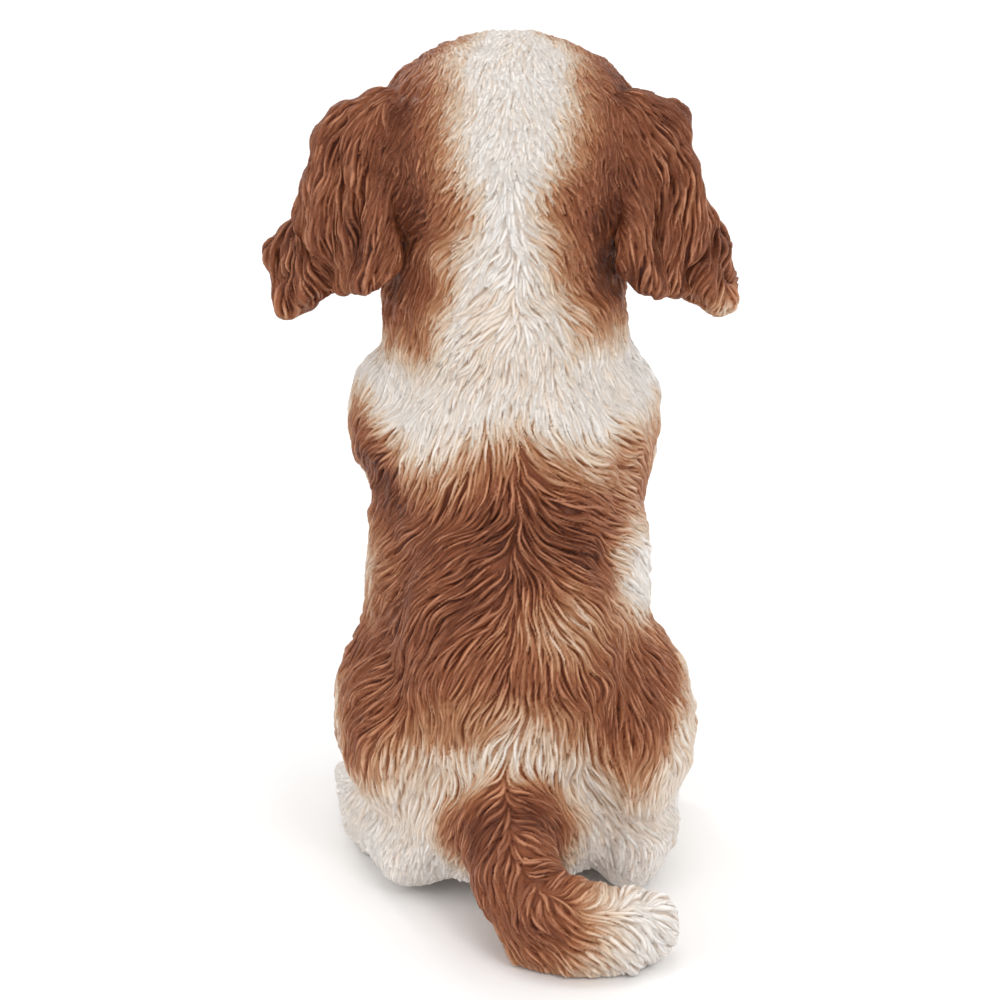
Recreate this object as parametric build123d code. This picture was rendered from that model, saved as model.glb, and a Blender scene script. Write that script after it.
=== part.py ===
import os

from build123d import *

# A hand-painted ceramic figurine of a sitting spaniel puppy, in millimetres.
# The puppy looks along -Y and stands on Z = 0. Its own left side is +X.
# Every outside form is made whole first, then each piece is cut where it is luted to the next.

# Driving dimensions
HEAD_TOP = 164.0         # top of the skull above the ground
SKULL_HALF_WIDTH = 27.8  # the skull is broad and a little flat, as a puppy's is
NECK_JOINT_Z = 109.0     # level of the seam between torso and head
WALL = 4.0               # thickness of the slip-cast wall
SOLE_Z = 0.6             # underside of the feet and tail, with the felt pads standing proud below it
LUTING_GAP = 0.15        # slip or cement around each peg and eye
BEYOND = 200.0           # reaches past the whole figurine, for cutting with a flat side

# Skull, cheeks and muzzle: half sizes along X, Y and Z, and centres
SKULL_HALF = (SKULL_HALF_WIDTH, 28.0, 23.5)
SKULL_AT = (0.0, -12.0, HEAD_TOP - SKULL_HALF[2])
CHEEK_HALF = (12.5, 16.0, 13.0)
CHEEK_AT = (14.0, -23.0, SKULL_AT[2] - 11.0)
MUZZLE_HALF = (12.8, 16.5, 9.8)
MUZZLE_AT = (0.0, -35.5, SKULL_AT[2] - 13.0)

# Eyes: glass cabochons with flat backs, bedded in the skull wall
EYE_RADIUS = 4.8
EYE_BACK = 0.8           # how far the flat back lies behind the centre of the ball
EYE_AT = (11.8, -34.6, SKULL_AT[2] - 3.8)
EYE_TURN = 14.0          # degrees that each eye looks outward

# Ears: flaps that hang from the sides of the skull and flare out
EAR_SPREAD = 28.0        # degrees that the flap's width turns forward from the X axis
EAR_PEG_RADIUS = 2.5
EAR_PEG_AT = (24.0, -5.4, 142.0)

# Pegs that hold the legs and the tail
SHOULDER_PEG_RADIUS = 3.5
SHOULDER_PEG_AT = (21.5, -8.0, 84.0)
HIP_PEG_RADIUS = 4.0
HIP_PEG_AT = (21.5, 12.0, 28.0)
TAIL_PEG_RADIUS = 4.0
TAIL_PEG_REACH = 2.0           # past the start of the tail's centreline
PEG_LENGTH = 8.0

# Vent in the base of the torso, with its plug, and the felt pads
VENT_RADIUS = 4.0
VENT_Y = 12.0
VENT_DEPTH = 12.0              # from the ground up through the base wall
PLUG_FLANGE = (6.0, 1.0)       # radius, thickness
PLUG_STEM = 6.0                # length of the stem above the base
PAD_RADIUS = 3.6
PAD_THICKNESS = 1.2
PAD_GAP = 0.05                 # glue around a pad in its pocket
FORE_PAD_Y = -32.0
HIND_PAD_AT = (21.4, 10.0)
BASE_Z = 2.6                   # underside of the rump, clear of the ground

# Torso sections from the base to the neck joint: height, half width, half depth, centre Y
TORSO = [
    (BASE_Z, 19.0, 18.0, 12.5),
    (7.0, 23.0, 23.0, 12.5),
    (18.0, 25.5, 26.5, 12.0),
    (34.0, 26.8, 28.0, 10.0),
    (50.0, 27.6, 28.0, 6.5),
    (66.0, 27.0, 27.0, 2.0),
    (82.0, 25.6, 25.0, -2.5),
    (96.0, 25.6, 22.8, -5.5),
    (NECK_JOINT_Z, 23.4, 21.0, -6.8),
]
CHEST_HALF = (19.0, 17.0, 23.0)
CHEST_AT = (0.0, -15.0, 84.0)

# Neck stub of the head, from the joint up into the skull: height, half width, half depth, centre Y
NECK = [
    (NECK_JOINT_Z, 23.4, 21.0, -6.8),
    (118.0, 22.8, 20.8, -7.6),
    (128.0, 23.4, 21.6, -9.0),
]
SPIGOT_HEIGHT = 4.0            # collar on the torso that locates the head
SPIGOT_GAP = 0.6               # room inside the head's wall, which leans a little
SPIGOT_WALL = 2.2
SPIGOT_ROOT = 3.5              # height of the part of it that is bonded into the wall

# Foreleg column from the elbow to the wrist: height, half width, half depth, centre X, centre Y
FORELEG = [
    (74.0, 8.6, 12.0, 18.5, -12.0),
    (56.0, 8.6, 10.5, 17.6, -17.5),
    (38.0, 7.8, 9.0, 16.6, -22.5),
    (20.0, 7.6, 8.4, 16.0, -26.5),
    (6.0, 8.0, 9.0, 15.8, -28.5),
]
SHOULDER_HALF = (11.6, 17.0, 17.5)
SHOULDER_AT = (19.6, -8.0, 88.0)
FOREPAW_HALF = (9.6, 13.0, 8.4)
FOREPAW_AT = (15.6, -33.5, 6.0)

# Hind leg: a thigh, and a long foot flat on the ground with its toes turned out
THIGH_HALF = (14.6, 25.0, 21.0)
THIGH_AT = (21.4, 10.0, 30.0)
THIGH_TILT = -14.0             # degrees about X, knee up

# Hind foot from heel to toes: centre, half width, half height
HIND_FOOT = [
    ((18.4, 30.2, 6.8), 3.2, 3.0),
    ((19.0, 26.6, 7.4), 7.4, 6.8),
    ((21.4, 15.0, 8.4), 10.4, 8.8),
    ((23.2, 2.0, 8.0), 10.2, 8.4),
    ((26.0, -8.0, 7.4), 9.4, 7.8),
    ((28.4, -16.4, 6.8), 7.8, 7.0),
    ((29.6, -21.4, 5.8), 3.4, 3.4),
]

# Tail centreline from inside the rump to the tip, each point with its radius
TAIL = [
    ((1.0, 33.0, 22.0), 9.8),
    ((-0.2, 41.5, 17.0), 9.2),
    ((-2.0, 48.5, 12.4), 8.8),
    ((-6.5, 54.5, 9.8), 8.8),
    ((-14.0, 57.6, 8.8), 8.4),
    ((-21.0, 57.4, 8.4), 8.0),
    ((-26.5, 55.6, 8.4), 6.4),
    ((-30.5, 53.6, 8.6), 3.4),
]

# Ear centreline from the root to the lower end: centre, half width of the flap, half thickness
EAR = [
    ((27.0, -4.6, 152.6), 5.6, 2.8),
    ((28.4, -4.9, 149.4), 9.0, 4.2),
    ((30.4, -5.2, 140.0), 11.6, 4.8),
    ((33.0, -5.6, 129.0), 12.6, 4.8),
    ((35.4, -6.0, 119.0), 13.4, 4.4),
    ((37.6, -6.4, 111.0), 10.4, 3.6),
    ((39.2, -6.6, 107.4), 6.0, 2.0),
]

MIRROR = Plane.YZ


def ellipsoid(half, at, turn=(0.0, 0.0, 0.0)):
    """A closed ellipsoid of these half sizes, turned about its own centre and then put in place."""
    return Pos(*at) * Rot(*turn) * scale(Sphere(1.0), by=tuple(half))


def upright_loft(sections, inset=0.0):
    """A loft through level ellipses, each given as height, half width, half depth and centre Y."""
    rings = [
        Plane(origin=(0.0, y, z)) * Ellipse(a - inset, b - inset)
        for z, a, b, y in sections
    ]
    return loft(rings)


def loft_along(sections, across):
    """A loft down a limb, each section given as centre, half size along across, and half size square to it."""
    rings = []
    for i, (centre, width, thickness) in enumerate(sections):
        before, after = sections[max(i - 1, 0)][0], sections[min(i + 1, len(sections) - 1)][0]
        along = Vector(*after) - Vector(*before)
        level = across - along * (across.dot(along) / along.dot(along))
        rings.append(Plane(origin=centre, x_dir=level, z_dir=along) * Ellipse(width, thickness))
    return loft(rings)


def peg(radius, at, direction, length):
    """A round peg that starts at a point and runs along a direction."""
    return extrude(Plane(origin=at, z_dir=direction) * Circle(radius), length)


def slab_below(z):
    """Everything under a level, used to cut flat undersides."""
    return Pos(0, 0, z - BEYOND / 2) * Box(2 * BEYOND, 2 * BEYOND, BEYOND)


def slab_above(z):
    """Everything over a level."""
    return Pos(0, 0, z + BEYOND / 2) * Box(2 * BEYOND, 2 * BEYOND, BEYOND)


def torso_form():
    """The outside of the torso as one filled solid: rump, back, belly, chest and lower neck."""
    chest = ellipsoid(CHEST_HALF, CHEST_AT)
    return upright_loft(TORSO) + chest - slab_above(NECK_JOINT_Z)


def torso_cavity():
    """The hollow left by the drained slip, open at the neck."""
    return upright_loft(TORSO[1:], inset=WALL)


def head_form():
    """The outside of the head as one filled solid: skull, cheeks, muzzle and upper neck."""
    form = ellipsoid(SKULL_HALF, SKULL_AT) + upright_loft(NECK)
    form += ellipsoid(MUZZLE_HALF, MUZZLE_AT)
    for side in (1, -1):
        form += ellipsoid(CHEEK_HALF, (side * CHEEK_AT[0], CHEEK_AT[1], CHEEK_AT[2]))
    return form - slab_below(NECK_JOINT_Z)


def head_cavity():
    """The hollow of the skull and neck, open downwards."""
    hollow = ellipsoid([h - WALL for h in SKULL_HALF], SKULL_AT)
    return hollow + upright_loft(NECK, inset=WALL)


def neck_spigot():
    """A collar on the torso's rim that locates the head while the slip sets, with its root in the wall."""
    _, a, b, y = NECK[0]
    foot = Plane(origin=(0, y, NECK_JOINT_Z - WALL))
    outer = WALL + SPIGOT_GAP
    inner = outer + SPIGOT_WALL
    collar = extrude(foot * Ellipse(a - outer, b - outer), WALL + SPIGOT_HEIGHT)
    root = extrude(foot * Ellipse(a - WALL / 2, b - WALL / 2), SPIGOT_ROOT)
    bore = extrude(foot * Ellipse(a - inner, b - inner), WALL + SPIGOT_HEIGHT)
    return collar + root - bore


def eye(clearance=0.0):
    """The left glass eye, a ball with a flat back, looking forward and a little outward."""
    ball = Sphere(EYE_RADIUS + clearance)
    behind = Pos(0, EYE_BACK + clearance + EYE_RADIUS, 0) * Box(3 * EYE_RADIUS, 2 * EYE_RADIUS, 3 * EYE_RADIUS)
    return Pos(*EYE_AT) * Rot(0, 0, EYE_TURN) * (ball - behind)


def ear_form():
    """The left ear: a flap lofted through flat ellipses down its length."""
    across = Vector(1, 0, 0).rotate(Axis.Z, -EAR_SPREAD)
    return loft_along(EAR, across)


def ear_peg(clearance=0.0):
    return peg(EAR_PEG_RADIUS + clearance, EAR_PEG_AT, (1, 0, 0), PEG_LENGTH)


def foreleg_form():
    """The left foreleg: shoulder, column and paw."""
    rings = [
        Plane(origin=(x, y, z)) * Ellipse(a, b)
        for z, a, b, x, y in FORELEG
    ]
    leg = loft(rings) + ellipsoid(SHOULDER_HALF, SHOULDER_AT)
    leg += ellipsoid(FOREPAW_HALF, FOREPAW_AT)
    return leg - slab_below(SOLE_Z)


def shoulder_peg(clearance=0.0):
    return peg(SHOULDER_PEG_RADIUS + clearance, SHOULDER_PEG_AT, (1, 0, 0), PEG_LENGTH)


def hind_leg_form():
    """The left hind leg: thigh, long foot and toes."""
    leg = ellipsoid(THIGH_HALF, THIGH_AT, (THIGH_TILT, 0, 0))
    leg += loft_along(HIND_FOOT, Vector(1, 0, 0))
    return leg - slab_below(SOLE_Z)


def hip_peg(clearance=0.0):
    return peg(HIP_PEG_RADIUS + clearance, HIP_PEG_AT, (1, 0, 0), PEG_LENGTH)


def tail_form():
    """The tail: it drops from the rump, lies on the ground and curls to the puppy's right."""
    sections = [(centre, radius, radius) for centre, radius in TAIL]
    return loft_along(sections, Vector(0, 0, 1)) - slab_below(SOLE_Z)


def tail_peg(clearance=0.0):
    """A peg along the tail's first stretch, reaching through the wall of the rump."""
    root, bend = Vector(*TAIL[0][0]), Vector(*TAIL[1][0])
    inward = root - bend
    return peg(TAIL_PEG_RADIUS + clearance, bend, inward, inward.length + TAIL_PEG_REACH)


def vent():
    """The hole through the base of the torso that drained the slip."""
    return peg(VENT_RADIUS, (0, VENT_Y, 0), (0, 0, 1), VENT_DEPTH)


def vent_plug():
    """A soft plug: a flange under the base and a stem in the vent."""
    radius, thickness = PLUG_FLANGE
    flange = peg(radius, (0, VENT_Y, BASE_Z - thickness), (0, 0, 1), thickness)
    stem = peg(VENT_RADIUS, (0, VENT_Y, BASE_Z), (0, 0, 1), PLUG_STEM)
    return flange + stem


def felt_pad(at, clearance=0.0):
    """A round felt pad, half sunk in a pocket in the sole."""
    return peg(PAD_RADIUS + clearance, (at[0], at[1], 0), (0, 0, 1), PAD_THICKNESS)


def mirrored(shape):
    return mirror(shape, about=MIRROR)


def build():
    """Every piece by name, in the design frame."""
    torso_outside, head_outside = torso_form(), head_form()
    pads = {
        "felt_pad_foreleg_left": (FOREPAW_AT[0], FORE_PAD_Y),
        "felt_pad_foreleg_right": (-FOREPAW_AT[0], FORE_PAD_Y),
        "felt_pad_hind_leg_left": HIND_PAD_AT,
        "felt_pad_hind_leg_right": (-HIND_PAD_AT[0], HIND_PAD_AT[1]),
        "felt_pad_tail": (TAIL[4][0][0], TAIL[4][0][1]),
    }
    pad_pockets = {name: felt_pad(at, PAD_GAP) for name, at in pads.items()}

    torso = torso_outside - torso_cavity() + neck_spigot() - vent()
    head = head_outside - head_cavity()
    ear = ear_form() - head_outside + ear_peg()
    foreleg = foreleg_form() - torso_outside + shoulder_peg()
    hind_leg = hind_leg_form() - torso_outside + hip_peg()
    tail = tail_form() - torso_outside + tail_peg()

    torso -= tail_peg(LUTING_GAP)
    for hole in (shoulder_peg(LUTING_GAP), hip_peg(LUTING_GAP)):
        torso = torso - hole - mirrored(hole)
    for hole in (ear_peg(LUTING_GAP), eye(LUTING_GAP)):
        head = head - hole - mirrored(hole)

    pieces = {
        "torso": torso,
        "head": head,
        "ear_left": ear,
        "ear_right": mirrored(ear),
        "eye_left": eye(),
        "eye_right": mirrored(eye()),
        "foreleg_left": foreleg - pad_pockets["felt_pad_foreleg_left"],
        "foreleg_right": mirrored(foreleg) - pad_pockets["felt_pad_foreleg_right"],
        "hind_leg_left": hind_leg - pad_pockets["felt_pad_hind_leg_left"],
        "hind_leg_right": mirrored(hind_leg) - pad_pockets["felt_pad_hind_leg_right"],
        "tail": tail - pad_pockets["felt_pad_tail"],
        "vent_plug": vent_plug(),
    }
    for name, at in pads.items():
        pieces[name] = felt_pad(at)
    return pieces


def centred(pieces):
    """The pieces moved along Y so that the origin is midway between the muzzle and the back of the tail."""
    front = pieces["head"].bounding_box().min.Y
    back = pieces["tail"].bounding_box().max.Y
    return {name: Pos(0, -(front + back) / 2, 0) * piece for name, piece in pieces.items()}


os.makedirs("parts", exist_ok=True)
for name, piece in centred(build()).items():
    export_step(piece, f"parts/{name}.step")
    box = piece.bounding_box()
    print(name, "volume", round(piece.volume), "from", box.min, "to", box.max)
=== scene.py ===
"""A hand-painted ceramic figurine of a sitting spaniel puppy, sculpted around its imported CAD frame.

The body is modelled as clay (a field of signed distances), skinned with one mesh, combed into locks of fur,
painted by attributes, and then cut into one closed piece for each CAD node. Sculpt sizes are in millimetres.
"""
import itertools
import math

import bpy
import numpy as np
import openvdb
from mathutils import Euler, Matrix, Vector


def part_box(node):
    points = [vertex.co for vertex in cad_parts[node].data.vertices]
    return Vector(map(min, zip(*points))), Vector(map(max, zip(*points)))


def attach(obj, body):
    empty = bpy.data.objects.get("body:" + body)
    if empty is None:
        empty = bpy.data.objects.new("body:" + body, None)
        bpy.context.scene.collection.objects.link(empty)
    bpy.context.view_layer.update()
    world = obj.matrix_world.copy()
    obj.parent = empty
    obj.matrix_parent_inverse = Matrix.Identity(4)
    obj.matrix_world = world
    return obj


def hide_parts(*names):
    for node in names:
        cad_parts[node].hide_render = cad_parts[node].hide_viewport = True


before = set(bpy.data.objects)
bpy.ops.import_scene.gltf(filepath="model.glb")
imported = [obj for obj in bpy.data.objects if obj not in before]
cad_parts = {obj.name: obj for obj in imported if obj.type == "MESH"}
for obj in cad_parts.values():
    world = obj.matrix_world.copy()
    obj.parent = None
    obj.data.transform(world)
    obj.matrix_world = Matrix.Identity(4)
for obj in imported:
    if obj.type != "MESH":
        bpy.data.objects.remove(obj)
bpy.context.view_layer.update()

MM = 0.001
VOXEL = 0.54   # grid spacing of the clay; the skin's mesh is twice as fine
FAR = 25.0                            # distance stored where there is no clay yet
SOLE = 0.6                            # underside of the feet and tail, above the felt pads' lower faces


# ---------------- places taken from the frame

def corners(node):
    """Lowest and highest corner of a CAD node, in millimetres."""
    low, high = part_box(node)
    return np.array(low) / MM, np.array(high) / MM


head_low, head_high = corners("head")
tail_high = corners("tail")[1]
eye_low, eye_high = corners("eye_left")

HEAD_TOP = head_high[2]
SKULL_HALF = np.array([head_high[0], 28.0, 23.5])
SKULL = np.array([0.0, head_high[1] - SKULL_HALF[1], HEAD_TOP - SKULL_HALF[2]])
EYE_RADIUS = (eye_high[0] - eye_low[0]) / 2
EYE = np.array([(eye_low[0] + eye_high[0]) / 2, eye_low[1] + EYE_RADIUS, (eye_low[2] + eye_high[2]) / 2])
EYE_TURN = 14.0         # degrees by which each eye looks outwards
Y0 = SKULL[1] + 12.0    # the sculpt's own zero along Y: the skull's centre lies 12 mm in front of it


def place(x, y, z):
    """A place given in the sculpt's own numbers, as a point of the frame in millimetres."""
    return np.array([x, y + Y0, z])


def fade(value, end, over):
    """1 where a value is well below the end, and falling to 0 at the end over this range."""
    return np.clip((end - value) / over, 0.0, 1.0)


def new_object(name, data):
    obj = bpy.data.objects.new(name, data)
    bpy.context.scene.collection.objects.link(obj)
    return obj


LATTICE_SIZE = 48
LATTICE = np.random.default_rng(11).uniform(-1.0, 1.0, (LATTICE_SIZE,) * 3).astype(np.float32)
LATTICE = np.pad(LATTICE, (0, 1), mode="wrap")    # the first layer again after the last


def trilinear(field, cell, part):
    """Values at the eight corners of each cell, blended by the place within it."""
    sides = (1 - part, part)
    total = 0.0
    for i, j, k in itertools.product((0, 1), repeat=3):
        weight = sides[i][:, 0] * sides[j][:, 1] * sides[k][:, 2]
        total = total + weight * field[cell[:, 0] + i, cell[:, 1] + j, cell[:, 2] + k]
    return total


def noise(points, size, shift=0.0):
    """Smooth random values from -1 to 1 that change over about this size in millimetres."""
    p = points / size + shift
    cell = np.floor(p).astype(int)
    part = p - cell
    return trilinear(LATTICE, cell % LATTICE_SIZE, part * part * (3 - 2 * part))


# ---------------- clay: shapes and how they join

def ellipsoid(at, half, turn=(0.0, 0.0, 0.0)):
    """A ball or egg with these half sizes, turned by degrees about X, Y and Z."""
    at, half = place(*at), np.array(half, float)
    axes = np.array(Euler([math.radians(t) for t in turn]).to_matrix())
    reach = np.abs(axes) @ half

    def distance(x, y, z):
        d = (x - at[0], y - at[1], z - at[2])
        local = [sum(axes[j, i] * d[j] for j in range(3)) / half[i] for i in range(3)]
        near = np.sqrt(local[0] ** 2 + local[1] ** 2 + local[2] ** 2)
        steep = np.sqrt(sum((local[i] / half[i]) ** 2 for i in range(3)))
        return near * (near - 1.0) / np.maximum(steep, 1e-6)

    return at - reach, at + reach, distance


def rod(points):
    """A round rod through points (x, y, z, radius)."""
    knots = [(place(*p[:3]), p[3]) for p in points]
    low = np.min([k - r for k, r in knots], axis=0)
    high = np.max([k + r for k, r in knots], axis=0)

    def distance(x, y, z):
        best = None
        for (a, ra), (b, rb) in zip(knots, knots[1:]):
            ab = b - a
            d = (x - a[0], y - a[1], z - a[2])
            t = np.clip((d[0] * ab[0] + d[1] * ab[1] + d[2] * ab[2]) / (ab @ ab), 0.0, 1.0)
            gap = np.sqrt(sum((d[i] - t * ab[i]) ** 2 for i in range(3))) - (ra + t * (rb - ra))
            best = gap if best is None else np.minimum(best, gap)
        return best

    return low, high, distance


def smooth_steps(x, knots, values, spread=3.0):
    """A curve through values at rising knots, with its corners rounded over the spread."""
    fine = np.linspace(knots[0], knots[-1], 400)
    step = fine[1] - fine[0]
    line = np.interp(fine, knots, values)
    reach = max(1, int(spread / step))
    padded = np.concatenate([np.full(reach, line[0]), line, np.full(reach, line[-1])])
    kernel = np.hanning(2 * reach + 3)[1:-1]
    return np.interp(x, fine, np.convolve(padded, kernel / kernel.sum(), "valid"))


def column(sections):
    """An upright body through level ellipses: height, half width, half depth, centre X, centre Y."""
    heights = [s[0] for s in sections]
    curves = [[s[i] for s in sections] for i in range(1, 5)]
    widest, deepest = max(curves[0]), max(curves[1])
    low = place(min(curves[2]) - widest, min(curves[3]) - deepest, heights[0])
    high = place(max(curves[2]) + widest, max(curves[3]) + deepest, heights[-1])

    def distance(x, y, z):
        a, b, cx, cy = (smooth_steps(z, heights, c) for c in curves)
        dx, dy = (x - cx) / a, (y - Y0 - cy) / b
        near = np.sqrt(dx ** 2 + dy ** 2)
        steep = np.sqrt((dx / a) ** 2 + (dy / b) ** 2)
        side = near * (near - 1.0) / np.maximum(steep, 1e-6)
        return np.maximum(side, np.maximum(heights[0] - z, z - heights[-1]))

    return low, high, distance


EAR_TURN = math.radians(28.0)    # how far the flap's outer edge is turned forward
EAR_MIDDLE_Y = -4.8
EAR_HEIGHTS = [110.2, 111.6, 114.0, 117.0, 121.0, 125.0, 127.5, 131.0, 138.0, 145.0, 148.5, 150.5, 152.0]
EAR_CENTRE_X = [38.0, 37.6, 36.8, 35.6, 34.6, 33.8, 33.2, 32.2, 31.0, 30.0, 29.4, 29.2, 29.0]
EAR_OUTER_X = [41.0, 45.2, 46.8, 47.0, 46.8, 46.4, 44.4, 40.0, 37.2, 35.4, 34.8, 34.0, 31.0]
EAR_INNER_X = [33.0, 23.0, 20.4, 19.0, 18.6, 18.6, 18.6, 18.6, 18.6, 19.0, 20.0, 22.0, 27.0]
EAR_THICKNESS = [0.8, 2.6, 3.2, 3.5, 3.7, 3.8, 3.6, 3.9, 4.0, 3.9, 3.4, 2.8, 0.8]
EAR_SQUARENESS = 2.6             # 2 would make the flap's level sections ellipses
EAR_TIP = 0.3                    # least half width of a level section


def ear_flap(narrower, hollow):
    """The left ear: a wavy flap whose level sections lie across a line that turns forward. Its outer edge is
    narrower and the middle of its lower edge hollowed out by so many millimetres."""
    low, high = place(14, -24, 100), place(54, 14, 158)
    foot, crest = EAR_HEIGHTS[0], EAR_HEIGHTS[-1]
    cosine, sine = math.cos(EAR_TURN), math.sin(EAR_TURN)

    def curve(level, values, spread=1.0):
        return smooth_steps(level, EAR_HEIGHTS, values, spread)

    def distance(x, y, z):
        dy = y - Y0 - EAR_MIDDLE_Y
        across = (x - curve(z, EAR_CENTRE_X, 2.0)) * cosine - dy * sine
        level = z + (0.25 + 0.1 * fade(z, 128.0, 14.0)) * across
        middle = np.clip(1.0 - np.abs(across + 5.0) / 9.5, 0.0, 1.0)
        level = level - hollow * middle * fade(z, 124.0, 12.0)
        rough = np.stack([v.ravel() for v in np.broadcast_arrays(x, y, z)], axis=1)
        rough = (0.7 * noise(rough, 3.6, 6.0) + 0.9 * noise(rough, 8.0, 16.0)).reshape(across.shape)
        level = level + 1.2 * rough
        centre = curve(level, EAR_CENTRE_X, 1.5)
        u = (x - centre) * cosine - dy * sine
        w = (x - centre) * sine + dy * cosine
        slimmer = narrower * np.clip((crest - level) / 8.0, 0.1, 1.0)
        outer = np.maximum((curve(level, EAR_OUTER_X) - slimmer - centre) / cosine + 0.8 * rough, EAR_TIP)
        inner = (centre - curve(level, EAR_INNER_X)) / cosine
        fall = fade(level, crest, 44.0)
        long_wave = 1.5 * np.sin(u * 0.40 + 0.9 + 0.05 * (z - 130.0))
        short_wave = 0.8 * np.sin(u * 0.95 - 0.09 * (z - 130.0))
        wave = fall * (long_wave + short_wave)
        wave = wave + 1.1 * np.sin((z - 128.0) * 0.16) - 0.012 * u * np.abs(u) * fall
        flat = curve(level, EAR_THICKNESS)
        along = (np.abs(u) / np.where(u > 0, outer, inner)) ** EAR_SQUARENESS
        through = (np.abs(w - wave) / flat) ** EAR_SQUARENESS
        near = (along + through) ** (1 / EAR_SQUARENESS)
        side = (near - 1.0) * flat * 0.9 - 0.3 * rough
        return np.maximum(side, np.maximum(foot + 0.5 - level, level - crest + 0.5))

    return low, high, distance


# Furrows of the left ear: from the notch down and inwards, down the flap, and at the lower end
EAR_FURROWS = (
    ((46.0, -8.0, 128.5), (41.0, -5.6, 125.5), (36.0, -3.0, 120.5), (32.5, -1.0, 116.5)),
    ((32.6, -3.0, 146.0), (31.0, -1.9, 141.0), (28.6, 0.3, 132.0), (26.4, 2.2, 122.0)),
    ((39.8, -7.0, 120.0), (39.4, -7.2, 116.0), (38.8, -7.0, 112.0)),
)
FURROW_RADIUS = 1.0


class Clay:
    """Signed distances on a grid that is the same on both sides of X = 0."""
    half_x = int(58.0 / VOXEL)
    low = np.array([-half_x * VOXEL, head_low[1] - 12.0, -4.0])
    size = (2 * half_x + 1, int((tail_high[1] - head_low[1] + 26.0) / VOXEL), int((HEAD_TOP + 12.0) / VOXEL))

    def __init__(self, field=None):
        self.field = np.full(self.size, FAR, np.float32) if field is None else field

    def window(self, low, high, margin):
        first = np.maximum(np.floor((low - margin - self.low) / VOXEL).astype(int), 0)
        last = np.minimum(np.ceil((high + margin - self.low) / VOXEL).astype(int) + 1, self.size)
        ticks = [self.low[i] + VOXEL * np.arange(first[i], last[i]) for i in range(3)]
        x, y, z = ticks[0][:, None, None], ticks[1][None, :, None], ticks[2][None, None, :]
        return tuple(slice(f, l) for f, l in zip(first, last)), (x, y, z)

    def add(self, shape, blend=2.0):
        part, at = self.window(shape[0], shape[1], blend + 6 * VOXEL)
        self.field[part] = soft_min(self.field[part], shape[2](*at), blend)
        return self

    def carve(self, shape, blend=1.0):
        part, at = self.window(shape[0], shape[1], blend + 6 * VOXEL)
        self.field[part] = -soft_min(-self.field[part], shape[2](*at), blend)
        return self

    def mirrored(self):
        return Clay(self.field[::-1].copy())

    def at(self, points):
        """Signed distance at any points, by linear interpolation."""
        where = (points - self.low) / VOXEL
        cell = np.clip(np.floor(where).astype(int), 0, np.array(self.size) - 2)
        return trilinear(self.field, cell, np.clip(where - cell, 0.0, 1.0))

    def slope(self, points):
        """Unit outward direction at any points."""
        h = 0.8 * VOXEL
        grad = np.stack([self.at(points + h * e) - self.at(points - h * e) for e in np.eye(3)], axis=1)
        return unit(grad)


def soft_min(a, b, blend):
    near = np.maximum(blend - np.abs(a - b), 0.0) / blend
    return (np.minimum(a, b) - near * near * blend * 0.25).astype(np.float32)


def unit(v):
    return v / np.maximum(np.linalg.norm(v, axis=-1, keepdims=True), 1e-9)


# ---------------- the sculpt, one field for each CAD node

BOTH = (1, -1)


def torso_clay():
    clay = Clay()
    clay.add(column([
        (6.0, 20.0, 21.0, 0, 12.0), (18.0, 24.6, 25.6, 0, 12.0), (34.0, 25.8, 27.2, 0, 10.0),
        (50.0, 27.6, 27.2, 0, 6.5), (66.0, 27.0, 26.2, 0, 2.0), (82.0, 25.0, 24.2, 0, -2.5),
        (96.0, 24.4, 22.2, 0, -5.5), (112.0, 21.4, 20.2, 0.6, -7.0),
    ]))
    clay.add(ellipsoid((0, 12.5, 15.0), (24.0, 25.6, 12.0)), 6.0)
    clay.add(ellipsoid((0, -15.0, 85.0), (18.5, 16.5, 22.0)), 8.0)
    clay.add(ellipsoid((0, -12.0, 52.0), (17.0, 14.0, 26.0)), 8.0)
    for side in BOTH:
        clay.add(ellipsoid((side * 11.0, 15.5, 86.0), (8.5, 5.2, 12.0), (18, 0, side * -18)), 5.0)
        clay.add(ellipsoid((side * 10.5, 27.0, 52.0), (9.0, 7.0, 20.0), (12, 0, 0)), 6.0)
    return clay


def head_clay():
    clay = Clay()
    sx, sy, sz = SKULL_HALF - (0.5, 0.5, 1.5)
    top = SKULL[2]
    clay.add(ellipsoid((0, -12.0, top), (sx, sy, sz)))
    neck = [(106.0, 21.7, 20.6, 0.8, -6.8), (118.0, 21.9, 20.2, 0.2, -7.6), (130.0, 22.6, 21.0, 0, -9.0)]
    clay.add(column(neck), 7.0)
    for side in BOTH:
        clay.add(ellipsoid((side * 14.0, -23.0, top - 11.5), (12.4, 15.0, 12.0)), 6.0)
        clay.add(ellipsoid((side * 10.5, -33.0, top + 3.4), (7.4, 6.2, 3.8), (0, side * 14, side * -12)), 3.5)
    clay.add(ellipsoid((0, -36.0, top - 10.5), (9.6, 13.5, 7.6), (-6, 0, 0)), 5.0)
    clay.add(ellipsoid((0, -41.6, top - 20.2), (7.4, 8.2, 4.4), (4, 0, 0)), 3.0)
    for side in BOTH:
        clay.add(ellipsoid((side * 6.0, -42.2, top - 13.4), (7.4, 8.6, 6.2), (0, 0, side * 16)), 1.0)
        clay.carve(ellipsoid((side * 5.2, -39.5, top - 0.8), (2.6, 3.2, 4.6), (0, 0, 0)), 4.0)
    return clay


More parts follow.
